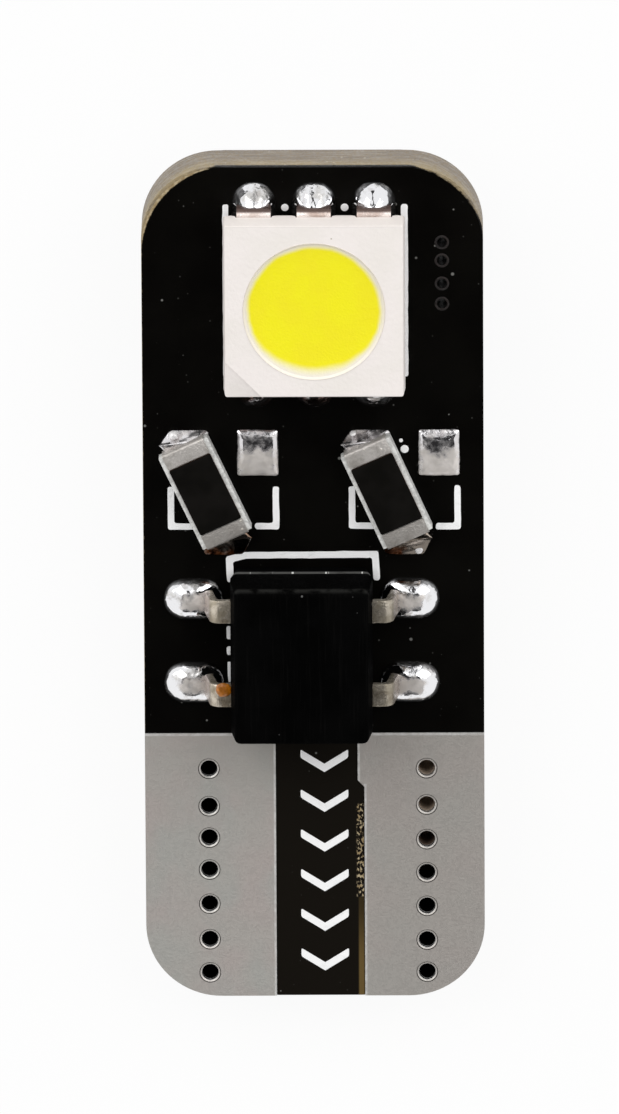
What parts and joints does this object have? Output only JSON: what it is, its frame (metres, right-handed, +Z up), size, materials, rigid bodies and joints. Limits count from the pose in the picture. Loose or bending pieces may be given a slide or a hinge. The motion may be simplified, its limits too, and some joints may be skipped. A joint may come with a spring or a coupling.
{
  "type": "wedge base led bulb",
  "caption": "Flat circuit board bulb that pushes into a wedge holder, with square surface-mounted lamps, a bridge rectifier, resistors and tinned edge contacts.",
  "frame": {"origin": "on the surface that the bulb lies on, below the middle of its box", "axes": "+Y from the contact end to the lamp end, +Z up, +X to the right when the front face is seen with its lamp end up. The bulb lies face up on its back lamp and the end of its contacts, so the board slopes 5.1 degrees up towards +Y."},
  "size_m": [0.0094, 0.024, 0.0054],
  "materials": {
    "glass_epoxy": "sawn glass-epoxy edge, matt tan",
    "solder_mask": "black solder mask, satin gloss",
    "silkscreen": "white printed lines, matt",
    "tinned_contact": "levelled tin, dull and mottled",
    "lamp_housing": "white moulded reflector housing, satin",
    "phosphor_gel": "yellow phosphor in clear silicone gel, glossy",
    "tinned_lead": "tinned lead frame, bright",
    "solder": "reflowed solder, very bright",
    "rectifier_epoxy": "black moulding epoxy, polished",
    "alumina": "white alumina, matt",
    "resistor_glaze": "black glass overcoat, satin",
    "tinned_terminal": "tinned end caps, satin",
    "flux_residue": "amber flux residue beside the joints, glossy"
  },
  "bodies": {
    "root": {"board_core": "glass_epoxy", "front_solder_mask": "solder_mask", "back_solder_mask": "solder_mask", "left_contact": "tinned_contact", "right_contact": "tinned_contact", "front_led_housing": "lamp_housing", "front_led_phosphor": "phosphor_gel", "front_led_lead_1": "tinned_lead", "front_led_lead_2": "tinned_lead", "front_led_lead_3": "tinned_lead", "front_led_lead_4": "tinned_lead", "front_led_lead_5": "tinned_lead", "front_led_lead_6": "tinned_lead", "front_led_solder_1": "solder", "front_led_solder_2": "solder", "front_led_solder_3": "solder", "front_led_solder_4": "solder", "front_led_solder_5": "solder", "front_led_solder_6": "solder", "back_led_housing": "lamp_housing", "back_led_phosphor": "phosphor_gel", "back_led_lead_1": "tinned_lead", "back_led_lead_2": "tinned_lead", "back_led_lead_3": "tinned_lead", "back_led_lead_4": "tinned_lead", "back_led_lead_5": "tinned_lead", "back_led_lead_6": "tinned_lead", "rectifier_body": "rectifier_epoxy", "rectifier_lead_1": "tinned_lead", "rectifier_lead_2": "tinned_lead", "rectifier_lead_3": "tinned_lead", "rectifier_lead_4": "tinned_lead", "rectifier_solder_1": "solder", "rectifier_solder_2": "solder", "rectifier_solder_3": "solder", "rectifier_solder_4": "solder", "left_resistor_ceramic": "alumina", "left_resistor_glaze": "resistor_glaze", "left_resistor_upper_terminal": "tinned_terminal", "left_resistor_lower_terminal": "tinned_terminal", "left_resistor_upper_solder": "solder", "left_resistor_lower_solder": "solder", "right_resistor_ceramic": "alumina", "right_resistor_glaze": "resistor_glaze", "right_resistor_upper_terminal": "tinned_terminal", "right_resistor_lower_terminal": "tinned_terminal", "right_resistor_upper_solder": "solder", "right_resistor_lower_solder": "solder", "left_bare_pad": "solder", "right_bare_pad": "solder", "load_resistor_1_ceramic": "alumina", "load_resistor_1_glaze": "resistor_glaze", "load_resistor_1_upper_terminal": "tinned_terminal", "load_resistor_1_lower_terminal": "tinned_terminal", "load_resistor_2_ceramic": "alumina", "load_resistor_2_glaze": "resistor_glaze", "load_resistor_2_upper_terminal": "tinned_terminal", "load_resistor_2_lower_terminal": "tinned_terminal"}
  },
  "joints": []
}
